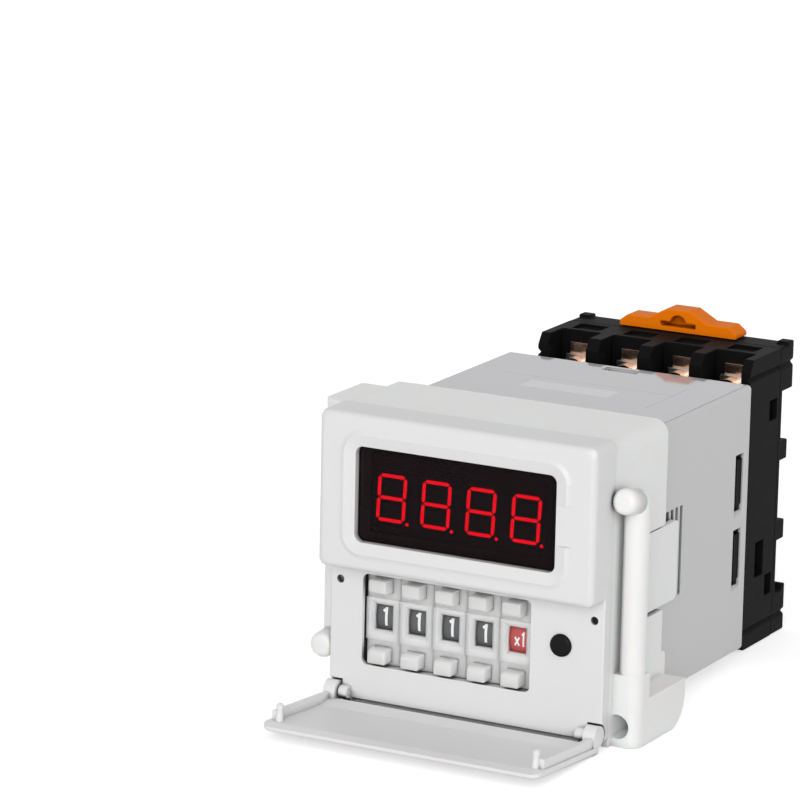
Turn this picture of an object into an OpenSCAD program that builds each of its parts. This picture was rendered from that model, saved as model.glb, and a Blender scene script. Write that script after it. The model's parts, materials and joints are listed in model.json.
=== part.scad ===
// Preset panel counter of the 48 mm class: bezel with display, pushwheels and flip cover, square case,
// push-on mounting bracket, eight-pin plug and plug-in socket with a clip for a 35 mm rail.
// Origin at the centre of the panel cut-out, on the bezel's rear face. X right, Y to the rear, Z up.

/* [Bezel] */
// Width of the bezel
bezel_w = 49; // [47:0.5:54]
// Height of the bezel
bezel_h = 49; // [48:0.5:54]
// Height of the bezel's middle above the middle of the case
bezel_lift = 0.36; // [0:0.02:0.5]
// Depth of the raised upper housing in front of the mounting panel
upper_depth = 7.04; // [6.5:0.1:9]
// Thickness of the lower panel that the flip cover closes
slab_t = 2.36; // [1.9:0.02:2.6]
// Drop of the raised housing's lower edge below the middle
step_drop = 1.25; // [0.5:0.05:1.8]
// Front wall of the raised housing
bezel_wall = 1.6; // [1.2:0.1:2]
// Rounding of the housing's front edges
edge_r = 1.1; // [0.5:0.1:1.2]
// Corner rounding of the bezel seen from the front
corner_r = 1.2; // [1:0.1:2.5]
// Length of the collar that plugs into the case
collar_len = 3; // [2:0.5:4]
// Wall of that collar
collar_t = 1.2; // [0.8:0.1:1.5]

/* [Display] */
// Width of the display opening
window_w = 35.6; // [33:0.1:36]
// Height of the display opening
window_h = 15.7; // [14.6:0.1:16]
// Height of the opening's middle above the middle of the bezel
window_z = 11.5; // [10.8:0.05:11.8]
// Corner rounding of the opening
window_r = 1.3; // [0.5:0.1:2]
// Depth of the window's face behind the housing's face
lens_recess = 1.1; // [0.8:0.1:1.2]
// Width of the flange that holds the window behind the wall
lens_flange = 1; // [0.6:0.1:1.4]
// Thickness of that flange
lens_flange_t = 0.5; // [0.4:0.1:0.8]
// Width of the raised frame around the opening
frame_w = 2.85; // [2.4:0.05:3.2]
// Distance of the frame's crest from the opening
frame_crest = 1.9; // [1.4:0.05:2.2]
// Rise of that crest
frame_rise = 0.5; // [0.3:0.05:0.7]
// Height of the break in the frame's right side
frame_break = 6.6; // [3:0.1:8]
// Distance between digits
digit_pitch = 7.96; // [7.5:0.02:8.1]
// Height of a digit over its bars
digit_h = 7.8; // [7.5:0.05:9]
// Width of a digit over its bars
digit_w = 5.15; // [4.4:0.05:5.3]
// Width of a bar
bar_w = 0.56; // [0.5:0.02:0.9]
// Lean of the digits
digit_lean = 3; // [0:0.5:8]
// Place of the digits, left of the window's middle
digit_left = 0.42; // [0:0.02:0.6]
// Drop of the digits below the window's middle
digit_drop = 0.5; // [0:0.02:0.6]
// Depth of the display block
display_depth = 8.6; // [7.5:0.1:9.5]

/* [Pushwheels] */
// Width of one pushwheel
cell_pitch = 6; // [5.8:0.02:6.1]
// Place of the middle pushwheel, left of the bezel's middle
cell_left = 3.49; // [3.2:0.01:3.8]
// Drop of the wheel axis below the middle of the bezel
wheel_drop = 10.3; // [10:0.05:10.6]
// Height of the pushwheel opening in the lower panel
cell_opening_h = 15.1; // [15:0.05:15.4]
// Depth of a pushwheel behind the mounting panel
cell_depth = 15; // [14.8:0.1:17]
// Radius of a number wheel
wheel_r = 6.2; // [5.9:0.05:6.3]
// Thickness of a number wheel
wheel_t = 3.8; // [3.2:0.1:4]
// Radius of the axle that a number wheel turns on
axle_r = 1.2; // [0.8:0.1:2]
// Width of the number window
number_w = 3.2; // [2.4:0.05:3.4]
// Height of the number window
number_h = 4.3; // [3.2:0.1:4.6]
// Rise of the number window's middle above the wheel axis
number_rise = 0.25; // [0:0.05:0.4]
// Width of a pushwheel button
push_w = 3.1; // [2.6:0.1:3.4]
// Height of a pushwheel button
push_h = 2.3; // [2:0.05:2.4]
// Distance of a button's middle from the wheel axis
push_spread = 5.75; // [5.6:0.05:5.8]
// Reach of a button in front of the lower panel
push_proud = 1.04; // [0.6:0.02:1.3]
// Travel of a button
push_travel = 0.8; // [0.6:0.05:1]

/* [Reset button] */
// Place of the reset button right of the bezel's middle
reset_x = 17; // [16.4:0.1:17.4]
// Drop of the reset button below the bezel's middle
reset_drop = 9.15; // [7:0.05:12]
// Diameter of the reset button
reset_d = 3.65; // [3:0.05:4]
// Reach of the reset button in front of the lower panel
reset_proud = 0.6; // [0.3:0.1:1]
// Travel of the reset button
reset_travel = 0.5; // [0.3:0.05:0.8]

/* [Flip cover] */
// Thickness of the cover's plate
cover_t = 1.2; // [1:0.1:1.5]
// Height of the rib around the plate's inner side
rim_h = 1.5; // [1:0.1:1.9]
// Thickness of that rib
rim_t = 0.9; // [0.7:0.1:1.2]
// Height of the hinge axis above the bezel's lower edge
hinge_rise = 1.7; // [1.5:0.05:2.2]
// Distance of the hinge axis in front of the lower panel
hinge_ahead = 0.54; // [0.4:0.02:0.9]
// Distance from the hinge axis to the cover's outer face
hinge_to_face = 2.8; // [2.7:0.05:3.2]
// Opening angle of the cover as it lies
cover_open = 86; // [60:1:90]
// Radius of the hinge ears
ear_r = 1.7; // [1.4:0.05:1.9]
// Thickness of a hinge ear
ear_t = 2.1; // [1.6:0.1:2.4]
// Radius of the hinge pins
hinge_pin_r = 0.5; // [0.4:0.05:0.6]
// Thickness of a hinge lug on the bezel
lug_t = 1.5; // [1:0.1:2]
// Distance of the latch pegs and holes from the bezel's side
latch_inset = 1.8; // [1.7:0.05:2.2]
// Drop of the latch holes below the bezel's middle
latch_drop = 4.3; // [3.6:0.05:5]
// Radius of the latch holes
latch_r = 0.68; // [0.5:0.02:0.7]
// Height of the latch pegs above the plate's inner side
peg_h = 2.9; // [2.6:0.05:3.2]

/* [Case] */
// Width of the case
case_w = 45.2; // [44.6:0.1:45.4]
// Height of the case
case_h = 45.2; // [44.8:0.1:45.4]
// Length of the case behind the mounting panel
case_len = 54.4; // [53.5:0.1:62]
// Wall of the case
case_wall = 1.8; // [1.5:0.1:2]
// Corner rounding of the case
case_r = 0.7; // [0.4:0.1:1.2]
// Pitch of the ratchet grooves
comb_pitch = 1.75; // [1.4:0.05:1.9]
// Number of ratchet grooves on each side
comb_count = 14; // [8:1:16]
// Place of the first groove behind the mounting panel
comb_start = 6.05; // [4:0.05:8]
// Length of a groove up the case's side
comb_h = 14.9; // [12:0.1:16]
// Width of a groove
groove_w = 1.1; // [0.8:0.05:1.2]
// Depth of a groove
groove_depth = 1.2; // [0.8:0.05:1.3]
// Height of the grooves' and slots' middle above the middle of the case
side_lift = 0.36; // [0:0.02:0.5]
// Length of a latch slot along the case
slot_len = 3.3; // [2.2:0.1:3.5]
// Height of a latch slot
slot_h = 9.75; // [8:0.05:10.5]
// Distance between the two slots of a side
slot_apart = 3; // [2:0.1:5]
// Distance of the slots from the rear end of the case
slot_margin = 1.8; // [1.6:0.1:3.5]
// Wall of the case around the slots
slot_wall = 0.8; // [0.6:0.05:1.2]
// Thickness of the film on top of the case
film_t = 0.1; // [0.05:0.01:0.15]

/* [Mounting bracket] */
// Thickness of the sleeve
sleeve_t = 1.45; // [1.2:0.05:1.8]
// Play between the sleeve and the case, above and below
sleeve_play = 0.6; // [0.4:0.05:0.7]
// Length of the sleeve
sleeve_len = 18.7; // [16:0.1:22]
// Outer corner rounding of the sleeve
sleeve_r = 2.5; // [1.5:0.1:3]
// Radius of the spring arm's round bar
arm_r = 2.05; // [1.6:0.05:2.2]
// Height of the arm's free end above the bracket's middle
arm_rise = 15; // [10:0.1:18]
// Distance of the arm's axis behind the sleeve's front edge
arm_back = 3.4; // [3:0.1:7]
// Lean of the peg at the arm's free end, which straightens under load
peg_lean = 12; // [0:1:15]
// Width of the foot that the arm stands on
foot_w = 4.6; // [3.9:0.05:5]
// Height of the foot's long part
foot_h = 7.5; // [6:0.1:8]
// Height of the foot's front part
foot_front_h = 11.8; // [9:0.1:13]
// Rounding of the foot's rear end
foot_corner = 5; // [3:0.5:6]
// Radius of the moulded hole in the foot
foot_hole_r = 2; // [1.5:0.1:2.1]
// Height of a latch tongue
tongue_h = 13.1; // [10:0.1:14]
// Reach of a latch tongue behind the sleeve
tongue_reach = 5.9; // [2:0.1:7]
// Height of the right latch tongue's middle above the bracket's middle
tongue_lift = 0.48; // [0:0.02:0.6]
// Thickness of a latch tongue
tongue_t = 1; // [0.8:0.1:1.2]

/* [Plug] */
// Diameter of the plug's round boss
boss_d = 27; // [24:0.5:28]
// Distance from the case to the socket
boss_len = 5.6; // [4:0.1:7]
// Diameter of the pin circle
pin_circle = 17.45; // [17:0.05:18]
// Diameter of a plug pin
pin_d = 2.36; // [2.2:0.02:2.5]
// Length of a plug pin in front of the boss
pin_len = 10.6; // [8:0.1:11]
// Diameter of the key post
key_d = 7.85; // [7:0.05:8.2]
// Length of the key post
key_len = 11.6; // [9:0.1:12]

/* [Socket] */
// Width of the socket
socket_w = 39.6; // [38.8:0.1:42]
// Height of the socket
socket_h = 50.2; // [49.5:0.1:53]
// Depth of the socket's front moulding
socket_front_d = 12.3; // [12:0.1:14]
// Depth of the socket's rear moulding over its flanges
socket_back_d = 5.3; // [5.1:0.1:7]
// Height of the rail channel
rail_h = 35.36; // [35.1:0.02:35.8]
// Drop of the channel's middle below the middle of the socket
rail_drop = 0.3; // [0:0.02:0.6]
// Depth of the rail channel
rail_depth = 4; // [3.6:0.1:4.2]
// Distance between terminals
bay_pitch = 9.63; // [9.4:0.01:9.7]
// Width of a terminal bay
bay_w = 7.3; // [7:0.1:7.6]
// Height of a terminal bay from the socket's end
bay_h = 10.5; // [9.8:0.1:11]
// Depth of a terminal bay from the front
bay_depth = 6; // [5.8:0.1:7]
// Distance of the terminal screws from the socket's end
screw_in = 6.1; // [5.6:0.1:6.4]
// Diameter of a terminal screw's head
screw_head_d = 4; // [3.6:0.1:5.2]
// Radius of a terminal screw's shank
screw_r = 1.3; // [1.2:0.05:1.4]
// Width of a contact strip
strip_w = 3.4; // [3.2:0.1:5]

/* [Rail clip] */
// Width of the clip's handle over its low edge
clip_w = 22; // [20:0.5:26]
// Rise of the handle's hump above the socket
clip_rise = 3.8; // [3.6:0.05:5]
// Rise of the handle's shoulders above the socket
shoulder_rise = 1.95; // [1.8:0.05:2.6]
// Reach of the handle in front of the rail channel's floor
handle_ahead = 0.4; // [0:0.1:0.8]
// Width of the clip's stem
stem_w = 14; // [10:0.5:16]
// Thickness of the clip's stem
stem_t = 2; // [1.6:0.1:2.1]
// Reach of the clip's hook over the rail
hook_reach = 1.1; // [0.8:0.1:1.5]

/* [Fits] */
// Gap between pieces that move past each other
move_gap = 0.3; // [0.25:0.01:0.35]
// Gap around a piece that is pushed into another
push_gap = 0.1; // [0.05:0.01:0.15]
// Radial play of a pin in its bore
pin_play = 0.05; // [0.02:0.01:0.1]

/* [Hidden] */
$fn = 48;
eps = 0.01;
digit_count = 4;
cell_count = 5;
positions = 10;
plug_pin_count = 8;
bay_count = 4;

// Faces of the bezel along Y, and its edges along Z
upper_y = -upper_depth;
slab_y = -slab_t;
wall_y = upper_y + bezel_wall;
step_z = bezel_lift - step_drop;
bezel_low = bezel_lift - bezel_h / 2;
bezel_top = bezel_lift + bezel_h / 2;
pocket_margin = 2.4;
slab_edge = 0.3;

// Inside of the case, and the collar that plugs into it
inner_w = case_w - 2 * case_wall;
inner_h = case_h - 2 * case_wall;
inner_low = -inner_h / 2;
collar_w = inner_w - 2 * push_gap;
collar_h = inner_h - 2 * push_gap;
board_w = collar_w - 2 * collar_t - 2 * push_gap;
board_h = collar_h - 2 * collar_t - 2 * push_gap;
board_t = 1.6;

// Display window and the block behind it
display_z = bezel_lift + window_z;
lens_y = upper_y + lens_recess;
lens_back = wall_y + lens_flange_t;
display_face = lens_back + push_gap;
display_back = display_face + display_depth;
display_side = 0.3;
display_edge = 2.6;
display_w = digit_count * digit_pitch + 2 * display_side;
display_h = digit_h + 2 * display_edge;
bar_rise = 0.06;
bar_gap = 0.3;
dot_r = 0.28;
// Section of the frame around the opening: distance from the opening, and depth from the housing's face
frame_points = [[0, bezel_wall / 2], [0, 0], [frame_crest, -frame_rise],
    [frame_w, 0], [frame_w, bezel_wall / 2]];

// Pushwheels
cells_w = cell_count * cell_pitch;
cell_gap = 0.06;
cell_x0 = -cell_left;
wheel_z = bezel_lift - wheel_drop;
opening_w = cells_w + 2 * push_gap;
opening_r = 1;
opening_lip = 0.7;
opening_room = 0.9;
cell_wall = 0.8;
cell_sink = 1.5;
cell_band_t = 0.45;
cell_face_t = 0.9;
cell_front = slab_y + cell_sink;
cell_band = cell_front - cell_band_t;
cell_wall_y = cell_front + cell_face_t;
cell_front_h = cell_opening_h - 2 * push_gap;
cell_back_h = cell_opening_h + 2 * cell_wall;
cavity_back = cell_depth - cell_wall;
cavity_w = wheel_t + cell_wall;
number_bevel = 0.55;
number_bevel_t = 0.5;
push_front = slab_y - push_proud;
push_flange = 0.35;
push_flange_t = 0.4;
push_flange_gap = 0.04;
push_flange_y = cell_wall_y + push_flange_gap;
flange_low = push_spread - push_h / 2 - push_flange;
cavity_h = 2 * (push_spread + push_h / 2 + push_flange + move_gap);
// The wheel's rim stays clear of a button that is pressed in
pressed_y = push_flange_y + push_flange_t + push_travel + move_gap;
wheel_y = pressed_y + sqrt(pow(wheel_r, 2) - pow(flange_low, 2));
wheel_rim = 1.2;
wheel_dish = 0.6;

// Reset button and the switch behind it
reset_z = bezel_lift - reset_drop;
reset_flange = 0.6;
reset_flange_t = 0.5;
reset_seat = 0.1;
plunger_y = reset_seat + reset_flange_t + reset_travel + push_gap;
plunger_len = 0.7;

// Flip cover, in its closed place
hinge_y = slab_y - hinge_ahead;
hinge_z = bezel_low + hinge_rise;
cover_y = hinge_y - hinge_to_face;
cover_in_y = cover_y + cover_t;
rim_y = cover_in_y + rim_h;
cover_top = step_z - push_gap;
cover_heel = 0.5;
cover_low = hinge_z - cover_heel;
cover_r = 1.6;
cover_edge = 0.4;
finger_w = 1.8;
finger_t = 0.45;
rim_inset = 0.4;
hinge_lug_wall = 0.45;
hinge_lug_r = hinge_pin_r + pin_play + hinge_lug_wall;
ramp_low = hinge_z + hinge_lug_r + move_gap;
ramp_h = 0.6;
ramp_w = 3.6;
slit_h = 0.8;
slit_depth = 1.6;
ear_inset = 0.1;
ear_x1 = bezel_w / 2 - ear_inset;
ear_x0 = ear_x1 - ear_t;
lug_x1 = ear_x0 - move_gap;
lug_x0 = lug_x1 - lug_t;
latch_x = bezel_w / 2 - latch_inset;
latch_z = bezel_lift - latch_drop;
latch_lip = 0.6;
latch_room = 0.7;

// Notch in the top of the case
notch_w = 6.4;
notch_len = 2.4;
notch_depth = 0.9;
notch_margin = 1.4;

// Mounting bracket, which hangs on the film on top of the case
bracket_sag = sleeve_play - film_t - pin_play;
sleeve_in_w = case_w + 2 * move_gap;
sleeve_in_h = case_h + 2 * sleeve_play;
sleeve_w = sleeve_in_w + 2 * sleeve_t;
sleeve_h = sleeve_in_h + 2 * sleeve_t;
sleeve_y0 = move_gap;
sleeve_y1 = sleeve_y0 + sleeve_len;
foot_sink = 0.2;
foot_x0 = sleeve_w / 2 - foot_sink;
foot_x1 = foot_x0 + foot_w;
foot_edge = arm_r + pin_play;
arm_x = foot_x1 - foot_edge;
arm_y = sleeve_y0 + arm_back;
foot_low = -sleeve_h / 2;
foot_top = foot_low + foot_h;
foot_y0 = arm_y - foot_edge;
foot_hole_out = 0.85;
foot_hole_up = 3.25;
foot_hole_x = sleeve_w / 2 + foot_hole_out;
foot_hole_z = foot_low + foot_hole_up;
foot_hole_depth = 6;
peg_round = 1;
// The leaning peg ends at the sleeve's front edge
peg_down = (arm_r - peg_round) * sin(peg_lean);
peg_len = peg_round + (arm_back - peg_round - peg_down) / cos(peg_lean);
heel = 1.5;
heel_h = 3.6;
heel_r = 0.9;
tongue_root = 8;
tongue_y0 = sleeve_y0 + tongue_root;
tongue_r = 1;
tongue_slit = 0.5;

// Plug and socket
base_t = 3;
key_w = 1.8;
key_rib = 0.7;
fixed_play = 0.02;
socket_y = case_len + boss_len;
split_y = socket_y + socket_front_d;
socket_back = split_y + socket_back_d;
rail_floor = socket_back - rail_depth;
rail_top = rail_h / 2 - rail_drop;
rail_bottom = -rail_h / 2 - rail_drop;
sleeve_bore = pin_d / 2 + pin_play;
pin_sleeve_t = 0.55;
pin_sleeve_r = sleeve_bore + pin_sleeve_t;
pin_sleeve_len = 7;
pin_sleeve_end = split_y - 1;
bay_back = socket_y + bay_depth;
strip_t = 0.9;
washer_t = 0.8;
screw_head_t = 1.9;
screw_z = socket_h / 2 - screw_in;
screw_end = split_y - 2;
washer_edge = 0.2;
washer_w = screw_head_d + 2 * washer_edge;
tab_w = 2.2;
tab_rise = 0.5;
mark_w = 5.2;
mark_len = 4;
mark_depth = 0.6;
mark_gap = 1;

// Rail clip
handle_y0 = rail_floor - handle_ahead;
handle_gap = 0.15;
stem_set = 0.9;
handle_z = socket_h / 2 + handle_gap;
stem_y0 = rail_floor + stem_set;
stem_low = rail_top - hook_reach;
arch_r = 1.55;
arch_leg = 0.45;
arch_depth = 2.4;
arch_rise = 0.8;
arch_slot_w = 6.6;
arch_slot_h = 0.8;

// Main board, and the parts on it side by side: transformer, capacitor, relay
rib_h = 1.5;
rib_t = 1.5;
rib_x = 11;
board_low = inner_low + rib_h;
board_top = board_low + board_t;
wiring_room = 3;
tail_room = 2.4;
main_y0 = cell_depth + wiring_room;
main_y1 = case_len - base_t - tail_room;
main_margin = 1;
parts_y1 = main_y1 - main_margin;
core_w = 16;
core_d = 9;
core_h = 17;
coil_d = 17;
coil_w = 11;
coil_h = 12;
coil_r = 2;
relay_w = 11;
relay_d = 19;
relay_h = 15.2;
relay_r = 1;
can_r = 2.6;
can_h = 11;
can_bead = 0.3;
transformer_x = -inner_w / 2 + main_margin + core_w / 2;
relay_x = inner_w / 2 - main_margin - relay_w / 2;
can_x = (transformer_x + core_w / 2 + relay_x - relay_w / 2) / 2;

// Colours
off_white = [0.88, 0.88, 0.89];
milky = [0.90, 0.91, 0.90];
light_grey = [0.78, 0.78, 0.79];
case_grey = [0.76, 0.76, 0.78];
ivory = [0.93, 0.93, 0.92];
near_black = [0.10, 0.10, 0.11];
smoke = [0.13, 0.08, 0.09];
signal_red = [1.00, 0.04, 0.14];
wheel_grey = [0.25, 0.27, 0.31];
board_green = [0.10, 0.35, 0.20];
brass = [0.80, 0.58, 0.32];
steel = [0.75, 0.75, 0.76];
orange = [0.90, 0.50, 0.08];

// Extrudes a drawing of the XZ plane from y0 back to y1
module along_y(y0, y1) {
    translate([0, y1, 0]) rotate([90, 0, 0]) linear_extrude(y1 - y0) children();
}

// Extrudes a drawing of the YZ plane from x0 to x1
module along_x(x0, x1) {
    translate([x0, 0, 0]) rotate([90, 0, 90]) linear_extrude(x1 - x0) children();
}

// Box between two opposite corners
module block(low, high) {
    translate(low) cube(high - low);
}

// Round bar along Y from y0 to y1
module bar_y(r, y0, y1) {
    translate([0, y0, 0]) rotate([-90, 0, 0]) cylinder(r = r, h = y1 - y0);
}

// Round bar along X from x0 to x1
module bar_x(r, x0, x1) {
    translate([x0, 0, 0]) rotate([0, 90, 0]) cylinder(r = r, h = x1 - x0);
}

// Rectangle with round corners about the origin
module round_rect(w, h, r) {
    square([w - 2 * r, h], center = true);
    square([w, h - 2 * r], center = true);
    for (x = [-1, 1], z = [-1, 1]) translate([x * (w / 2 - r), z * (h / 2 - r)]) circle(r);
}

// Plate from y0 to y1 whose front edges are rounded by edge
module soft_plate(w, h, r, y0, y1, edge) {
    hull() for (a = [0, 30, 60, 90])
        along_y(y0 + edge * (1 - sin(a)), y1)
            round_rect(w - 2 * edge * (1 - cos(a)), h - 2 * edge * (1 - cos(a)), r, $fn = 32);
}

// Copies a piece to both sides of the YZ plane
module both_sides() {
    children();
    mirror([1, 0, 0]) children();
}

// Straight stretch of the display's frame, lying along X from x0 to x1
module frame_run(x0, x1) {
    along_x(x0, x1) polygon([for (p = frame_points) [upper_y + p[1], p[0]]]);
}

// Round corner of the display's frame, from the right to the top
module frame_bend() {
    rotate([90, 0, 0]) rotate_extrude(angle = 90)
        polygon([for (p = frame_points) [window_r + p[0], -upper_y - p[1]]]);
}

// Raised frame around the display opening, open for a stretch on its right side
module display_frame() {
    run_w = window_w / 2 - window_r;
    run_h = window_h / 2 - window_r;
    translate([0, 0, display_z]) {
        for (turn = [0, 180]) rotate([0, turn, 0]) translate([0, 0, window_h / 2]) frame_run(-run_w, run_w);
        rotate([0, -90, 0]) translate([0, 0, window_w / 2]) frame_run(-run_h, run_h);
        rotate([0, 90, 0]) translate([0, 0, window_w / 2]) {
            frame_run(-run_h, -frame_break / 2);
            frame_run(frame_break / 2, run_h);
        }
        for (turn = [0, 180]) rotate([0, turn, 0]) {
            translate([run_w, 0, run_h]) frame_bend();
            rotate([0, 90, 0]) translate([run_h, 0, run_w]) frame_bend();
        }
    }
}

// Lug on the lower panel that carries one hinge pin
module hinge_lug() {
    along_x(lug_x0, lug_x1) {
        translate([hinge_y, hinge_z]) circle(hinge_lug_r);
        translate([hinge_y, hinge_z - hinge_lug_r]) square([slab_y - hinge_y + eps, 2 * hinge_lug_r]);
    }
}

module bezel() {
    upper_h = bezel_top - step_z;
    color(off_white) difference() {
        union() {
            translate([0, 0, step_z + upper_h / 2])
                soft_plate(bezel_w, upper_h, corner_r, upper_y, 0, edge_r);
            translate([0, 0, bezel_lift]) soft_plate(bezel_w, bezel_h, corner_r, slab_y, 0, slab_edge);
            display_frame();
            both_sides() hinge_lug();
            along_y(-eps, collar_len) difference() {
                square([collar_w, collar_h], center = true);
                square([collar_w - 2 * collar_t, collar_h - 2 * collar_t], center = true);
            }
        }
        // Display opening, and the pocket behind it
        translate([0, 0, display_z]) along_y(upper_y - 1, 1) round_rect(window_w, window_h, window_r);
        block([-bezel_w / 2 + pocket_margin, wall_y, step_z + bezel_wall],
            [bezel_w / 2 - pocket_margin, -bezel_wall, bezel_top - bezel_wall]);
        block([-board_w / 2, -bezel_wall - eps, step_z + bezel_wall], [board_w / 2, 1, board_h / 2]);
        // Pushwheel opening with a thin lip in front and room for the pushwheels behind it
        translate([cell_x0, 0, wheel_z]) {
            along_y(slab_y - 1, 1) round_rect(opening_w, cell_opening_h, opening_r);
            along_y(slab_y + opening_lip, 1)
                square([opening_w + 2 * opening_room, cell_opening_h], center = true);
        }
        // Reset bore with room for the button's flange, and latch holes that widen behind a thin lip
        translate([reset_x, 0, reset_z]) {
            bar_y(reset_d / 2 + pin_play, slab_y - 1, 1);
            bar_y(reset_d / 2 + reset_flange + move_gap, 0, collar_len + 1);
        }
        both_sides() translate([latch_x, 0, latch_z]) {
            bar_y(latch_r, slab_y - 1, 1);
            bar_y(latch_r + latch_room, slab_y + latch_lip, 1);
        }
        // Room for the hinge ears, the hinge pins and the cover's swing
        both_sides() translate([0, hinge_y, hinge_z]) {
            bar_x(ear_r + move_gap, lug_x1, bezel_w);
            bar_x(hinge_pin_r + pin_play, lug_x0 - 1, bezel_w);
        }
        block([-lug_x0, slab_y - 1, bezel_low - 1], [lug_x0, slab_y + slit_depth, bezel_low + slit_h]);
    }
}

module display_lens() {
    flange_w = window_w + 2 * lens_flange;
    flange_h = window_h + 2 * lens_flange;
    color(smoke) translate([0, 0, display_z]) {
        along_y(lens_y, wall_y) round_rect(window_w - 2 * push_gap, window_h - 2 * push_gap, window_r);
        along_y(wall_y, lens_back) square([flange_w, flange_h], center = true);
    }
}

module led_display() {
    color(near_black) translate([0, 0, display_z])
        along_y(display_face, display_back) square([display_w, display_h], center = true);
}

// One bar of a digit with pointed ends, lying along X
module bar(length) {
    half = length / 2;
    tip = bar_w / 2;
    polygon([[-half, 0], [tip - half, tip], [half - tip, tip],
        [half, 0], [half - tip, -tip], [tip - half, -tip]]);
}

// All bars of one digit and its dot
module digit_bars() {
    reach = (digit_w - bar_w) / 2;
    rise = (digit_h - bar_w) / 2;
    for (z = [-rise, 0, rise])
        translate([z * tan(digit_lean), z]) bar(2 * reach - bar_gap);
    for (x = [-reach, reach], z = [-rise / 2, rise / 2])
        translate([x + z * tan(digit_lean), z]) rotate(90 - digit_lean) bar(rise - bar_gap);
    translate([reach + bar_w / 2 + dot_r, -rise - dot_r]) circle(dot_r);
}

module led_segments() {
    color(signal_red) for (i = [0 : digit_count - 1])
        translate([(i - (digit_count - 1) / 2) * digit_pitch - digit_left, 0, display_z - digit_drop])
            along_y(display_face - bar_rise, display_face) digit_bars();
}

// Ear of the flip cover around the hinge axis, with its pin
module cover_ear() {
    along_x(ear_x0, ear_x1) {
        translate([hinge_y, hinge_z]) circle(ear_r);
        translate([cover_y, hinge_z]) square([hinge_to_face, ear_r]);
    }
    translate([0, hinge_y, hinge_z]) bar_x(hinge_pin_r, lug_x0, ear_x0 + ear_t / 4);
}

// Peg of the flip cover that snaps into a latch hole: wide foot, neck and round head
module cover_peg() {
    head_r = latch_r - 2 * pin_play;
    neck_r = 0.85 * head_r;
    foot_r = 1.15 * head_r;
    translate([latch_x, cover_in_y, latch_z]) rotate([-90, 0, 0]) rotate_extrude() polygon([
        [0, -eps], [foot_r, -eps], [neck_r, peg_h / 2], [neck_r, peg_h - 2 * head_r],
        [head_r, peg_h - 1.4 * head_r], [head_r, peg_h - head_r / 2], [head_r / 2, peg_h], [0, peg_h]]);
}

// Flip cover in its closed place
module closed_cover() {
    plate_h = cover_top - cover_low;
    rim_w = bezel_w - 2 * rim_inset;
    rim_low = hinge_z + ear_r;
    difference() {
        translate([0, 0, cover_low + plate_h / 2])
            soft_plate(bezel_w, plate_h, cover_r, cover_y, cover_in_y, cover_edge);
        // Slope on the inner side of the free edge
        along_x(-bezel_w, bezel_w) polygon([[cover_in_y + eps, cover_top - finger_w],
            [cover_in_y - finger_t, cover_top + eps], [cover_in_y + 1, cover_top + eps]]);
    }
    both_sides() {
        along_x(rim_w / 2 - rim_t, rim_w / 2) polygon([[cover_in_y - eps, rim_low], [rim_y, rim_low],
            [rim_y, latch_z], [cover_in_y - eps, latch_z]]);
        cover_ear();
        cover_peg();
    }
    // Ramp along the hinge
    along_x(-rim_w / 2, rim_w / 2) polygon([[cover_in_y - eps, ramp_low], [cover_in_y + ramp_h, ramp_low],
        [cover_in_y - eps, ramp_low + ramp_w]]);
}

module front_cover() {
    color(light_grey) translate([0, hinge_y, hinge_z]) rotate([cover_open, 0, 0])
        translate([0, -hinge_y, -hinge_z]) closed_cover();
}

// Middle of pushwheel i, counted from 1 at the left
function cell_x(i) = cell_x0 + (i - (cell_count + 1) / 2) * cell_pitch;

module preset_cell(i) {
    w = cell_pitch - cell_gap;
    band_h = 2 * (flange_low - cell_wall);
    color(milky) translate([cell_x(i), 0, wheel_z]) difference() {
        union() {
            along_y(cell_front, cell_depth) square([w, cell_front_h], center = true);
            along_y(0, cell_depth) square([w, cell_back_h], center = true);
            along_y(cell_band, cell_front + eps) square([w, band_h], center = true);
        }
        // Room for the wheel and the buttons, around the axle
        difference() {
            union() {
                along_y(cell_wall_y, cavity_back) square([cavity_w, cavity_h], center = true);
                translate([0, wheel_y, 0]) bar_x(wheel_r + move_gap, -cavity_w / 2, cavity_w / 2);
            }
            translate([0, wheel_y, 0]) bar_x(axle_r, -w / 2, w / 2);
        }
        // Number window with bevelled edges
        translate([0, 0, number_rise]) {
            along_y(cell_band - 1, cell_wall_y + 1) square([number_w, number_h], center = true);
            hull() {
                along_y(cell_band - eps, cell_band)
                    square([number_w + 2 * number_bevel, number_h + 2 * number_bevel], center = true);
                along_y(cell_band, cell_band + number_bevel_t) square([number_w, number_h], center = true);
            }
        }
        for (z = [-push_spread, push_spread]) translate([0, 0, z])
            along_y(cell_band - 1, cell_wall_y + 1)
                square([push_w + 2 * push_gap, push_h + 2 * push_gap], center = true);
    }
}

module number_wheel(i) {
    detent_r = 0.45;
    colour = i == cell_count ? [0.80, 0.16, 0.17] : wheel_grey;
    color(colour) translate([cell_x(i), wheel_y, wheel_z]) difference() {
        bar_x(wheel_r, -wheel_t / 2, wheel_t / 2);
        bar_x(axle_r + pin_play, -wheel_t, wheel_t);
        // Dished side with the detents that hold each number
        bar_x(wheel_r - wheel_rim, wheel_t / 2 - wheel_dish, wheel_t);
        for (k = [0 : positions - 1]) rotate([k * 360 / positions, 0, 0])
            translate([0, 0, wheel_r - wheel_rim]) bar_x(detent_r, wheel_t / 2 - wheel_dish, wheel_t);
    }
}

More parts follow.
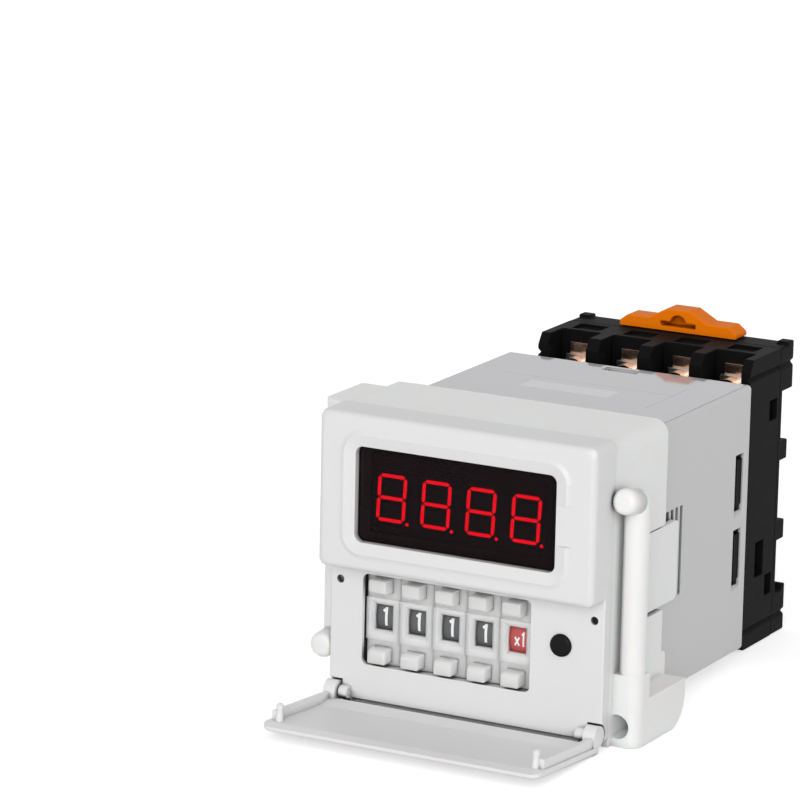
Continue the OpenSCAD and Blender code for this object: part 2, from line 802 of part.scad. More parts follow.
// Pushwheel button i, with its front bevelled at the top or the bottom; side is 1 for plus, -1 for minus
module push_button(i, side) {
    flange_h = push_h + 2 * push_flange;
    bevel = 0.5;
    color(milky) translate([cell_x(i), 0, wheel_z + side * push_spread]) {
        along_x(-push_w / 2, push_w / 2) polygon([
            [push_front + bevel, -side * push_h / 2], [push_front, side * (bevel - push_h / 2)],
            [push_front, side * push_h / 2], [push_flange_y + eps, side * push_h / 2],
            [push_flange_y + eps, -side * push_h / 2]]);
        along_y(push_flange_y, push_flange_y + push_flange_t)
            square([push_w + 2 * push_flange, flange_h], center = true);
    }
}

module reset_button() {
    dome_r = 0.4;
    front = slab_y - reset_proud;
    color(near_black) translate([reset_x, 0, reset_z]) {
        rotate([-90, 0, 0]) rotate_extrude() polygon(concat(
            [[0, front]],
            [for (a = [0 : 15 : 90]) [reset_d / 2 - dome_r * (1 - sin(a)), front + dome_r * (1 - cos(a))]],
            [[reset_d / 2, reset_seat], [reset_d / 2 + reset_flange, reset_seat],
                [reset_d / 2 + reset_flange, reset_seat + reset_flange_t],
                [0, reset_seat + reset_flange_t]]));
    }
}

module reset_switch() {
    plunger_r = 1.4;
    housing_w = 3.8;
    color(near_black) translate([reset_x, 0, reset_z]) {
        bar_y(plunger_r, plunger_y, plunger_y + plunger_len + eps);
        along_y(plunger_y + plunger_len, display_back) square(housing_w, center = true);
    }
}

module display_board() {
    gap = 0.5;
    hole_r = 0.8;
    hole_in = 1.6;
    above_z = wheel_z + cell_back_h / 2 + gap;
    beside_x = cell_x0 + cells_w / 2 + gap;
    color(board_green) difference() {
        along_y(display_back, display_back + board_t) {
            translate([-board_w / 2, above_z]) square([board_w, board_h / 2 - above_z]);
            translate([beside_x, -board_h / 2]) square([board_w / 2 - beside_x, board_h]);
        }
        for (x = [-1, 1]) translate([x * (board_w / 2 - hole_in), 0, board_h / 2 - hole_in])
            bar_y(hole_r, 0, display_back + 2 * board_t);
    }
}

module code_boards() {
    code_t = 0.8;
    margin = 1;
    color(board_green) for (i = [1 : cell_count]) translate([cell_x(i), 0, wheel_z])
        along_y(cell_depth, cell_depth + code_t)
            square([cell_pitch - margin, cell_back_h - 2 * margin], center = true);
}

// Copies a piece to the upper and the lower latch slot of a side
module at_slots() {
    for (z = [-1, 1]) translate([0, 0, side_lift + z * (slot_apart + slot_h) / 2]) children();
}

// Cut for the two latch slots of the case's right side, with sloped lower ends and a thin wall around them
module case_slots() {
    y0 = case_len - slot_margin - slot_len;
    y1 = case_len - slot_margin;
    thin_x = case_w / 2 - slot_wall;
    room = 1;
    at_slots() {
        along_y(y0, y1) polygon([[thin_x - room, slot_h / 2], [case_w / 2 + room, slot_h / 2],
            [case_w / 2 + room, -slot_h / 2 - slot_wall - room], [thin_x, -slot_h / 2],
            [thin_x - room, -slot_h / 2]]);
        block([inner_w / 2 - room, y0 - room, -slot_h / 2 - room], [thin_x, y1 + room, slot_h / 2 + room]);
    }
}

// Cut for the ratchet grooves of the case's right side
module case_comb() {
    for (k = [0 : comb_count - 1]) translate([0, comb_start + k * comb_pitch, side_lift])
        block([case_w / 2 - groove_depth, -groove_w / 2, -comb_h / 2], [case_w, groove_w / 2, comb_h / 2]);
}

// Cut for the notch in the top of the case, through the film
module case_notch() {
    y1 = case_len - notch_margin;
    block([-notch_w / 2, y1 - notch_len, case_h / 2 - notch_depth], [notch_w / 2, y1, case_h / 2 + 1]);
}

module case_shell() {
    color(case_grey) {
        difference() {
            along_y(0, case_len) difference() {
                round_rect(case_w, case_h, case_r);
                square([inner_w, inner_h], center = true);
            }
            both_sides() {
                case_slots();
                case_comb();
            }
            case_notch();
        }
        both_sides() block([rib_x, main_y0, inner_low - eps], [rib_x + rib_t, main_y1, board_low]);
    }
}

module top_label() {
    front_margin = 1;
    rear_margin = 0.5;
    color([0.80, 0.80, 0.84]) difference() {
        block([-case_w / 2 + case_r, front_margin, case_h / 2],
            [case_w / 2 - case_r, case_len - rear_margin, case_h / 2 + film_t]);
        case_notch();
    }
}

module main_board() {
    color(board_green) block([-inner_w / 2 + push_gap, main_y0, board_low],
        [inner_w / 2 - push_gap, main_y1, board_top]);
}

// Frame of laminations with a round-cornered winding through it
module transformer() {
    translate([transformer_x, parts_y1 - coil_d / 2, board_top]) {
        color(steel) block([-core_w / 2, -core_d / 2, 0], [core_w / 2, core_d / 2, core_h]);
        color(brass) translate([0, 0, core_h / 2]) along_y(-coil_d / 2, coil_d / 2)
            round_rect(coil_w, coil_h, coil_r);
    }
}

module relay() {
    color([0.15, 0.30, 0.60]) translate([relay_x, parts_y1 - relay_d / 2, board_top])
        linear_extrude(relay_h) round_rect(relay_w, relay_d, relay_r);
}

module capacitor() {
    color(near_black) translate([can_x, parts_y1 - can_r, board_top])
        rotate_extrude() polygon([[0, 0], [can_r, 0], [can_r, 2 * can_bead], [can_r - can_bead, 3 * can_bead],
            [can_r, 4 * can_bead], [can_r, can_h - can_bead], [can_r - can_bead, can_h], [0, can_h]]);
}

// Snap hook of the plug base that catches in a latch slot
module base_snap() {
    leg_t = 1.3;
    hook_len = 2;
    half_h = slot_h / 2 - 1;
    leg_x = inner_w / 2 - leg_t;
    y1 = case_len - slot_margin - push_gap;
    block([leg_x, y1 - hook_len, -half_h], [inner_w / 2 - push_gap, case_len - base_t + eps, half_h]);
    block([leg_x, y1 - hook_len, -half_h], [case_w / 2 - slot_wall / 2, y1, half_h]);
}

module plug_base() {
    color(near_black) difference() {
        union() {
            along_y(case_len - base_t, case_len) square([collar_w, collar_h], center = true);
            both_sides() at_slots() base_snap();
            bar_y(boss_d / 2, case_len - eps, socket_y - push_gap);
            bar_y(key_d / 2, socket_y - push_gap - eps, socket_y + key_len);
            along_y(socket_y - push_gap - eps, socket_y + key_len)
                translate([-key_w / 2, -key_d / 2 - key_rib]) square([key_w, key_d / 2]);
        }
        at_pins() bar_y(pin_d / 2 + fixed_play, case_len - base_t - 1, socket_y + 1);
    }
}

// Copies a piece to each place on the pin circle
module at_pins() {
    for (k = [0 : plug_pin_count - 1]) rotate([0, (k + 0.5) * 360 / plug_pin_count, 0])
        translate([0, 0, pin_circle / 2]) children();
}

module plug_pins() {
    tip = pin_d / 4;
    tail = 0.8;
    from = case_len - base_t - tail;
    length = socket_y + pin_len - from;
    color(steel) at_pins() translate([0, from, 0]) rotate([-90, 0, 0])
        rotate_extrude() polygon([[0, 0], [pin_d / 2, 0], [pin_d / 2, length - tip],
            [pin_d / 4, length], [0, length]]);
}

// Front part of a spring arm's foot seen from above, round at its outer front edge
module foot_plan() {
    translate([arm_x, arm_y]) circle(foot_edge);
    translate([foot_x0, foot_y0]) square([arm_x - foot_x0, 2 * foot_edge]);
    translate([foot_x0, arm_y]) square([foot_w, foot_edge]);
}

// Long part of the foot seen from the side, in Y and Z, round at its lower rear end
module foot_profile() {
    front = arm_y + foot_edge / 2;
    difference() {
        translate([front, foot_low]) square([sleeve_y1 - front, foot_h]);
        translate([sleeve_y1 - foot_corner, foot_low]) difference() {
            translate([0, -1]) square(foot_corner + 1);
            translate([0, foot_corner]) circle(foot_corner);
        }
    }
}

// Spring arm: foot, upright round bar and the leaning peg that presses on the panel
module spring_arm() {
    difference() {
        union() {
            translate([0, 0, foot_low]) linear_extrude(foot_front_h) foot_plan();
            along_x(foot_x0, foot_x1) foot_profile();
        }
        translate([foot_hole_x, 0, foot_hole_z]) bar_y(foot_hole_r, foot_y0 - 1, foot_y0 + foot_hole_depth);
    }
    translate([arm_x, arm_y, foot_top]) cylinder(r = arm_r, h = arm_rise - foot_top);
    translate([arm_x, arm_y, arm_rise]) {
        sphere(arm_r + fixed_play);
        rotate([90 - peg_lean, 0, 0]) rotate_extrude() polygon(concat([[0, 0], [arm_r, 0]],
            [for (a = [0 : 15 : 90]) [arm_r - peg_round * (1 - cos(a)), peg_len - peg_round * (1 - sin(a))]],
            [[0, peg_len]]));
    }
}

// Latch tongue of the right side, free on three sides
module latch_tongue() {
    x0 = sleeve_in_w / 2;
    tongue_len = sleeve_y1 + tongue_reach - tongue_y0;
    along_x(x0, x0 + tongue_t) translate([tongue_y0 + tongue_len / 2, tongue_lift])
        round_rect(tongue_len, tongue_h, tongue_r);
}

module mounting_bracket() {
    free_h = tongue_h / 2 + tongue_slit;
    color(ivory) translate([0, 0, -bracket_sag]) for (turn = [0, 180]) rotate([0, turn, 0]) {
        difference() {
            along_y(sleeve_y0, sleeve_y1) difference() {
                union() {
                    round_rect(sleeve_w, sleeve_h, sleeve_r);
                    // The corner at the foot is nearly square
                    translate([sleeve_w / 2 - sleeve_r, pin_play - sleeve_h / 2]) square(sleeve_r);
                }
                square([sleeve_in_w, sleeve_in_h], center = true);
                translate([-sleeve_w, -sleeve_h]) square([sleeve_w, 2 * sleeve_h]);
            }
            block([sleeve_in_w / 2 - 1, tongue_y0 + tongue_r, tongue_lift - free_h],
                [sleeve_w, sleeve_y1 + 1, tongue_lift + free_h]);
        }
        latch_tongue();
        spring_arm();
        along_x(sleeve_in_w / 2, sleeve_w / 2) translate([sleeve_y1, foot_top + heel_h / 2 - heel_r])
            round_rect(2 * heel, heel_h + 2 * heel_r, heel_r);
    }
}

// Outline of the socket seen from the front, with the small grooves along its sides
module socket_outline() {
    groove = 0.8;
    groove_in = 3.2;
    groove_z = socket_h / 2 - groove_in;
    difference() {
        square([socket_w, socket_h], center = true);
        for (x = [-1, 1], z = [-1, 1]) translate([x * socket_w / 2, z * groove_z])
            rotate(45) square(groove, center = true);
    }
}

// Middle of terminal bay i on the upper row, counted from 0 at the left
function bay_x(i) = (i - (bay_count - 1) / 2) * bay_pitch;

// Copies a piece of the upper row of terminals to all the terminals
module at_bays() {
    for (turn = [0, 180], i = [0 : bay_count - 1])
        rotate([0, turn, 0]) translate([bay_x(i), 0, 0]) children();
}

// Slots in the right side of the socket, each from its middle along Y and Z with its size
module socket_slots() {
    slot_cut = 1.6;
    for (s = [[9.9, 14.95, 3, 3.5], [6.3, -10.15, 3.2, 6.1], [10.3, -15.5, 2.6, 3.6]])
        block([socket_w / 2 - slot_cut, socket_y + s[0] - s[2] / 2, s[1] - s[3] / 2],
            [socket_w, socket_y + s[0] + s[2] / 2, s[1] + s[3] / 2]);
}

module socket_body() {
    nose = 1.3;
    nose_z = 1.9;
    color(near_black) difference() {
        along_y(socket_y, split_y) socket_outline();
        // Slope on the front edge of the end walls and barriers
        for (turn = [0, 180]) rotate([0, turn, 0]) along_x(-socket_w, socket_w)
            polygon([[socket_y - 1, socket_h / 2 - nose_z - nose_z / nose], [socket_y + nose, socket_h / 2],
                [socket_y + nose, socket_h], [socket_y - 1, socket_h]]);
        at_bays() {
            block([-bay_w / 2, socket_y - 1, socket_h / 2 - bay_h], [bay_w / 2, bay_back, socket_h]);
            // Shallow pocket for a marker
            block([-mark_w / 2, bay_back + mark_gap, socket_h / 2 - mark_depth],
                [mark_w / 2, bay_back + mark_gap + mark_len, socket_h]);
            translate([0, 0, screw_z]) bar_y(screw_r + pin_play, bay_back - 1, screw_end + move_gap);
        }
        at_pins() bar_y(pin_sleeve_r + fixed_play, socket_y - 1, pin_sleeve_end);
        bar_y(key_d / 2 + push_gap, socket_y - 1, split_y + 1);
        along_y(socket_y - 1, split_y + 1)
            translate([-key_w / 2 - 2 * push_gap, -key_d / 2 - key_rib - 2 * push_gap])
                square([key_w + 4 * push_gap, key_d / 2]);
        both_sides() socket_slots();
    }
}

module socket_base() {
    rib_reach = 2.7;
    rib_w = 3.4;
    rib_z = 7;
    lip = 1;
    lip_t = 1.6;
    color(near_black) difference() {
        union() {
            difference() {
                along_y(split_y, socket_back) socket_outline();
                block([-socket_w, rail_floor, rail_bottom], [socket_w, socket_back + 1, rail_top]);
            }
            for (z = [-rib_z, rib_z]) block([-socket_w / 2, rail_floor - eps, z - rib_w / 2],
                [socket_w / 2, rail_floor + rib_reach, z + rib_w / 2]);
            // Fixed lip under the rail's lower edge
            along_x(-socket_w / 2, socket_w / 2) polygon([[socket_back - lip_t, rail_bottom - eps],
                [socket_back - lip, rail_bottom + lip], [socket_back, rail_bottom + lip],
                [socket_back, rail_bottom - eps]]);
            // Small tabs on the upper rear corners
            both_sides() block([socket_w / 2 - tab_w, socket_back - tab_w, socket_h / 2 - eps],
                [socket_w / 2, socket_back, socket_h / 2 + tab_rise]);
        }
        // Guide of the rail clip
        block([-stem_w / 2 - move_gap, stem_y0 - move_gap, rail_top - 1],
            [stem_w / 2 + move_gap, stem_y0 + stem_t + move_gap, socket_h]);
    }
}

module contact_strips() {
    strip_end = 2;
    color(brass) at_bays() difference() {
        along_y(bay_back - strip_t, bay_back) translate([-strip_w / 2, socket_h / 2 - bay_h])
            square([strip_w, bay_h - strip_end]);
        translate([0, 0, screw_z]) bar_y(screw_r + pin_play, bay_back - 2, bay_back + 1);
    }
}

module clamp_washers() {
    y1 = bay_back - strip_t;
    color(steel) at_bays() translate([0, 0, screw_z]) difference() {
        along_y(y1 - washer_t, y1) square(washer_w, center = true);
        bar_y(screw_r + pin_play, y1 - 2 * washer_t, y1 + 1);
    }
}

module terminal_screws() {
    seat = bay_back - strip_t - washer_t;
    cross_w = 0.8;
    cross_in = 0.5;
    color(brass) at_bays() translate([0, 0, screw_z]) difference() {
        union() {
            bar_y(screw_head_d / 2, seat - screw_head_t, seat);
            bar_y(screw_r, seat - eps, screw_end);
        }
        for (turn = [0, 90]) rotate([0, turn, 0])
            block([-screw_head_d / 2 + cross_in, seat - screw_head_t - 1, -cross_w / 2],
                [screw_head_d / 2 - cross_in, seat - screw_head_t / 2, cross_w / 2]);
    }
}

module pin_sleeves() {
    color(brass) at_pins() difference() {
        bar_y(pin_sleeve_r, pin_sleeve_end - pin_sleeve_len, pin_sleeve_end);
        bar_y(sleeve_bore, socket_y, split_y);
    }
}

// Handle of the rail clip seen from the front
module clip_handle() {
    shoulder_in = 1.5;
    shoulder = clip_w / 2 - shoulder_in;
    hump_low = clip_w / 4;
    hump_top = clip_w / 10;
    end_rise = 0.4 * shoulder_rise;
    polygon([[-clip_w / 2, 0], [clip_w / 2, 0], [clip_w / 2, end_rise], [shoulder, shoulder_rise],
        [hump_low, shoulder_rise], [hump_top, clip_rise], [-hump_top, clip_rise],
        [-hump_low, shoulder_rise], [-shoulder, shoulder_rise], [-clip_w / 2, end_rise]]);
}

module rail_clip() {
    hook_edge = 0.6;
    color(orange) {
        translate([0, 0, handle_z]) difference() {
            along_y(handle_y0, socket_back) clip_handle();
            // Blind arch for a screwdriver, with a slot along its foot
            translate([0, 0, arch_rise]) along_y(handle_y0 - 1, handle_y0 + arch_depth) {
                intersection() {
                    translate([0, arch_leg]) circle(arch_r);
                    translate([-arch_r, 0]) square(2 * arch_r);
                }
                translate([-arch_slot_w / 2, 0]) square([arch_slot_w, arch_slot_h]);
            }
        }
        along_x(-stem_w / 2, stem_w / 2) polygon([[stem_y0, stem_low + hook_edge],
            [stem_y0 + hook_edge, stem_low], [stem_y0 + stem_t, stem_low],
            [stem_y0 + stem_t, handle_z + eps], [stem_y0, handle_z + eps]]);
    }
}

bezel();
display_lens();
led_display();
led_segments();
front_cover();
for (i = [1 : cell_count]) {
    preset_cell(i);
    number_wheel(i);
    push_button(i, 1);
    push_button(i, -1);
}
reset_button();
reset_switch();
display_board();
code_boards();
case_shell();
top_label();
main_board();
transformer();
relay();
capacitor();
plug_base();
plug_pins();
mounting_bracket();
socket_body();
socket_base();
contact_strips();
terminal_screws();
clamp_washers();
pin_sleeves();
rail_clip();
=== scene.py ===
"""Studio view of a preset panel counter: white bezel with red digits, pushwheels and an open flip cover,
grey case, white mounting bracket and black plug-in socket. Lengths are metres in the frame's axes unless a
name ends in _mm."""
import json
import math

import bmesh
import bpy
import numpy as np
from mathutils import Matrix, Vector


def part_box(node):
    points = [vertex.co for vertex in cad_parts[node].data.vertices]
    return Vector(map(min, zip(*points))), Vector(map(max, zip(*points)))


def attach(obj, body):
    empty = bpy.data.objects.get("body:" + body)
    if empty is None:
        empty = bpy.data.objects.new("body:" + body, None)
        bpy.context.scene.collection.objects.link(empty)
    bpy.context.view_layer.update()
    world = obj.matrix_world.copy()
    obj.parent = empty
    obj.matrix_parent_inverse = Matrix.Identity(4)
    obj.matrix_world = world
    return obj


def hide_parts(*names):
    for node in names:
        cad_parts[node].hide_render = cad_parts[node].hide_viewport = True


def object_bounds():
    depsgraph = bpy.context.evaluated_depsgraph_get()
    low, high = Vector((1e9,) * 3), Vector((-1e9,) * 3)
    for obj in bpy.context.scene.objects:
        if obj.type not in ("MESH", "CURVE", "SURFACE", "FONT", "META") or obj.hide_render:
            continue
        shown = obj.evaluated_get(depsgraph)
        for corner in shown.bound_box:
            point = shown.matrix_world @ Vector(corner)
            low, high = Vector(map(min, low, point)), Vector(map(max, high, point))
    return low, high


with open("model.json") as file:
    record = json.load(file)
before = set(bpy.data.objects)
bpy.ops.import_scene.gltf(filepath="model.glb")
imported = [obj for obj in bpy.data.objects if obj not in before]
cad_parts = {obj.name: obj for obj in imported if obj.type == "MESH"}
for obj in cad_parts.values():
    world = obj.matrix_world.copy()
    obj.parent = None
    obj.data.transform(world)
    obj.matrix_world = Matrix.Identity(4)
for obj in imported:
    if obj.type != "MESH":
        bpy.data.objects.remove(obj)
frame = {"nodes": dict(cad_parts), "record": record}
cad_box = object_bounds()
nodes = frame["nodes"]
record = frame["record"]
MM = 0.001
body_of_node = {n: body for body, members in record["behaviour"]["bodies"].items() for n in members}
slot_of_node = {part["node"]: part["material_slot"] for part in record["subparts"]}
CELLS = range(1, 6)


# Camera, placed as the photograph was taken
CAMERA_AT_MM = (339.18, -654.73, 204.02)
CAMERA_YAW, CAMERA_PITCH, CAMERA_ROLL = 28.3332, -13.4444, 1.1841
CAMERA_LENS_MM, SENSOR_MM = 217.19, 36.0


def add_camera():
    """Camera that looks along +Y, turned by yaw about Z, tipped by pitch and rolled about its own sight."""
    yaw, pitch, roll = (math.radians(a) for a in (CAMERA_YAW, CAMERA_PITCH, CAMERA_ROLL))
    look = Matrix.Rotation(yaw, 3, "Z") @ Matrix.Rotation(pitch, 3, "X")
    right, forward, up = look.col
    side = math.cos(roll) * right + math.sin(roll) * up
    top = math.cos(roll) * up - math.sin(roll) * right
    lens = bpy.data.cameras.new("camera")
    lens.lens, lens.sensor_width = CAMERA_LENS_MM, SENSOR_MM
    camera = bpy.data.objects.new("camera", lens)
    turn = Matrix((side, top, -forward)).transposed().to_4x4()
    camera.matrix_world = Matrix.Translation(Vector(CAMERA_AT_MM) * MM) @ turn
    bpy.context.scene.collection.objects.link(camera)
    bpy.context.scene.camera = camera


class Wire:
    """An output socket of a shader tree: arithmetic on it adds Math nodes, and add() makes any other node."""

    def __init__(self, tree, socket=None):
        self.tree = tree
        self.socket = socket

    def add(self, kind, inputs=None, out=0, **settings):
        """A node of that type, with its settings made first and then its sockets' values or links."""
        node = self.tree.nodes.new("ShaderNode" + kind)
        for name, value in settings.items():
            setattr(node, name, value)
        for name, value in (inputs or {}).items():
            if isinstance(value, Wire):
                self.tree.links.new(value.socket, node.inputs[name])
            else:
                node.inputs[name].default_value = value
        return Wire(self.tree, node.outputs[out] if len(node.outputs) else None)

    def math(self, operation, *values):
        return self.add("Math", dict(enumerate(values)), operation=operation)

    def __add__(self, other):
        return self.math("ADD", self, other)

    def __sub__(self, other):
        return self.math("SUBTRACT", self, other)

    def __rsub__(self, other):
        return self.math("SUBTRACT", other, self)

    def __mul__(self, other):
        return self.math("MULTIPLY", self, other)

    __radd__ = __add__
    __rmul__ = __mul__

    def mix(self, low, high):
        """Colour low where this value is 0, high where it is 1."""
        return self.add("Mix", {0: self, 6: low, 7: high}, out=2, data_type="RGBA")

    def axis(self, letter):
        return self.add("SeparateXYZ", {"Vector": self}, out=letter)

    def noise(self, feature, detail):
        """Noise whose features measure about the given length."""
        return self.add("TexNoise", {"Vector": self, "Scale": 1.0 / feature, "Detail": detail})

    def between(self, low, high, edge):
        """1 where this value lies between low and high, with edges that soft."""
        rise = self.add("MapRange", {"Value": self, "From Min": low - edge, "From Max": low + edge})
        fall = self.add("MapRange", {"Value": self, "From Min": high - edge, "From Max": high + edge})
        return rise * (1 - fall)


def paint(red, green, blue):
    """Linear colour of an sRGB colour from 0 to 255: ((c + 0.055) / 1.055) to the power 2.4, and a straight
    line near black."""
    c = np.array((red, green, blue)) / 255.0
    linear = np.where(c > 0.04045, ((c + 0.055) / 1.055) ** 2.4, c / 12.92)
    return (*(float(v) for v in linear), 1.0)


def dimmed(colour, share):
    return (*(c * share for c in colour[:3]), 1.0)


def new_material(name):
    material = bpy.data.materials.new(name)
    material.use_nodes = True
    material.node_tree.nodes.clear()
    wire = Wire(material.node_tree)
    return material, wire, wire.add("TexCoord", out="Object")


def close(material, wire, sockets):
    """Ends a material in one Principled shader with the given sockets."""
    shader = wire.add("BsdfPrincipled", sockets)
    wire.add("OutputMaterial", {"Surface": shader})
    return material


# Painted shade in each crevice: reach of the look for near walls, its rays, and the openness at which the
# painted shade is darkest and ends
CREVICE_MM, CREVICE_RAYS = 2.5, 8
CREVICE_DARK, CREVICE_OPEN = 0.2, 0.66


def painted_crevice_shade(wire):
    """Openness that places painted shade: 1 on open faces, 0 deep in holes, slots and slits, from the share of
    near walls around a point.
    """
    openness = wire.add("AmbientOcclusion", {"Distance": CREVICE_MM * MM}, out="AO", samples=CREVICE_RAYS)
    return wire.add("MapRange", {"Value": openness, "From Min": CREVICE_DARK, "From Max": CREVICE_OPEN})


# Noise detail of broad and fine patterns, and the mean about which noise swings
BROAD, FINE, MEAN = 3.0, 2.0, 0.5
# Plastic: size of the tone's clouds, shares of clouds and grain in tone and gloss, depth of the grain
CLOUD_MM, CLOUD_TONE, GRAIN_TONE = 14, 0.7, 0.3
CLOUD_GLOSS, GRAIN_GLOSS, GRAIN_DEPTH_MM = 0.08, 0.16, 0.03


def moulded(name, colour, roughness, grain_mm=0.35, relief=0.12, drift=0.04, shade=0.1, **sockets):
    """Moulded plastic: tone drifts over centimetres, a fine spark grain breaks gloss and light, and painted
    shade darkens the base colour in each crevice, hole and slit, down to the share given as shade."""
    material, wire, place = new_material(name)
    cloud = place.noise(CLOUD_MM * MM, BROAD)
    grain = place.noise(grain_mm * MM, FINE)
    tone = cloud * CLOUD_TONE + grain * GRAIN_TONE
    open_base = tone.mix(dimmed(colour, 1 - drift), dimmed(colour, 1 + drift))
    # painted shade: the base colour darkens where near walls stand, down to the share given as shade
    base = painted_crevice_shade(wire).mix(dimmed(colour, shade), open_base)
    gloss = roughness + (grain - MEAN) * GRAIN_GLOSS + (cloud - MEAN) * CLOUD_GLOSS
    bump = wire.add("Bump", {"Height": grain, "Strength": relief, "Distance": GRAIN_DEPTH_MM * MM})
    extra = {key.replace("_", " "): value for key, value in sockets.items()}
    return close(material, wire, {"Base Color": base, "Roughness": gloss, "Normal": bump, **extra})


# Metal: squeeze of the noise along the drawing lines, sizes of lines and tarnish, and what they do
DRAWN, LINE_MM, PATCH_MM, TARNISH = 0.08, 0.12, 2.5, 0.72
LINE_GLOSS, PATCH_GLOSS, LINE_RELIEF, LINE_DEPTH_MM = 0.25, 0.12, 0.1, 0.02


def plated(name, colour, roughness, drawn_axis):
    """Plated metal: fine drawing lines along one axis and a soft tarnish in patches."""
    material, wire, place = new_material(name)
    squeeze = {"X": (DRAWN, 1.0, 1.0), "Y": (1.0, DRAWN, 1.0)}[drawn_axis]
    drawn = wire.add("Mapping", {"Vector": place, "Scale": squeeze})
    lines = drawn.noise(LINE_MM * MM, BROAD)
    patch = place.noise(PATCH_MM * MM, BROAD)
    base = patch.mix(dimmed(colour, TARNISH), colour)
    gloss = roughness + (lines - MEAN) * LINE_GLOSS + (patch - MEAN) * PATCH_GLOSS
    bump = wire.add("Bump", {"Height": lines, "Strength": LINE_RELIEF, "Distance": LINE_DEPTH_MM * MM})
    return close(material, wire, {"Base Color": base, "Roughness": gloss, "Normal": bump, "Metallic": 1.0})


# Film: extent of the pale field, run of the rule across and of the rule along, and how soft their edges are
FIELD_X_MM, FIELD_Y_MM, FIELD_EDGE_MM = (-9.5, 6.5), (33, 37.5), 0.05
RULE_X_MM, RULE_Y_MM, RULE_AT_MM = (-16, 15), (30, 46), 40
RULE_MM, RULE_EDGE_MM = 0.12, 0.04
FILM_CLOUD_MM, RIPPLE_MM, RIPPLE_RELIEF, RIPPLE_DEPTH_MM = 16, 9, 0.05, 0.2
FILM_GLOSS, FILM_GLOSS_SWING = 0.04, 0.04


def label_film():
    """Glossy film on the case: lavender grey, with a pale field and thin plain rules where print would be."""
    material, wire, place = new_material("label_film")
    across, along = place.axis("X"), place.axis("Y")
    soft = FIELD_EDGE_MM * MM
    field = (across.between(FIELD_X_MM[0] * MM, FIELD_X_MM[1] * MM, soft)
             * along.between(FIELD_Y_MM[0] * MM, FIELD_Y_MM[1] * MM, soft))
    rule, soft = RULE_MM * MM, RULE_EDGE_MM * MM
    left, right = (x * MM for x in RULE_X_MM)
    front, back = (y * MM for y in RULE_Y_MM)
    rules = across.between(left, right, soft) * along.between(RULE_AT_MM * MM, RULE_AT_MM * MM + rule, soft)
    rules = rules + across.between(right, right + rule, soft) * along.between(front, back, soft)
    cloud = place.noise(FILM_CLOUD_MM * MM, FINE)
    film = cloud.mix(paint(186, 186, 190), paint(193, 193, 196))
    printed = rules.mix(field.mix(film, paint(208, 208, 211)), paint(140, 140, 146))
    ripple = place.noise(RIPPLE_MM * MM, 1.0)
    bump = wire.add("Bump", {"Height": ripple, "Strength": RIPPLE_RELIEF, "Distance": RIPPLE_DEPTH_MM * MM})
    gloss = FILM_GLOSS + cloud * FILM_GLOSS_SWING
    return close(material, wire, {"Base Color": printed, "Roughness": gloss, "Normal": bump})


HAZE_MM, WINDOW_GLOSS, WINDOW_GLOSS_SWING = 6, 0.16, 0.06


def tinted_window():
    """Dark acrylic that the lit digits shine through: see-through by a share that is the same all over."""
    material, wire, place = new_material("window_smoke")
    haze = place.noise(HAZE_MM * MM, FINE)
    gloss = WINDOW_GLOSS + haze * WINDOW_GLOSS_SWING
    base = haze.mix(paint(28, 20, 22), paint(32, 24, 26))
    return close(material, wire, {"Base Color": base, "Roughness": gloss, "Alpha": 0.6,
                                  "Specular IOR Level": 0.04})


# Lit bars: size of the patches, and the linear colours between which their light swings
GLOW_MM = 0.5
GLOW_LOW, GLOW_HIGH = (0.92, 0.0, 0.008, 1.0), (1.0, 0.0, 0.012, 1.0)


def lit_red():
    """Lit display bars: red light, a little stronger in patches of the phosphor."""
    material, wire, place = new_material("led_red")
    glow = place.noise(GLOW_MM * MM, FINE).mix(GLOW_LOW, GLOW_HIGH)
    return close(material, wire, {"Base Color": glow, "Roughness": 0.4, "Emission Color": glow,
                                  "Emission Strength": 5.0})


TRACK_MM, SPECK_MM, BOARD_GLOSS, BOARD_GLOSS_SWING = 6, 0.6, 0.3, 0.1


def circuit_board():
    """Green board: mask over copper tracks, drawn as a brick pattern's joints."""
    material, wire, place = new_material("board_green")
    bricks = {"Vector": place, "Scale": 1 / (TRACK_MM * MM), "Mortar Size": 0.03}
    tracks = wire.add("TexBrick", bricks, out="Fac")
    speck = place.noise(SPECK_MM * MM, FINE)
    mask = speck.mix(paint(18, 84, 46), paint(26, 98, 54))
    base = tracks.mix(mask, paint(52, 122, 66))
    return close(material, wire, {"Base Color": base, "Roughness": BOARD_GLOSS + speck * BOARD_GLOSS_SWING})
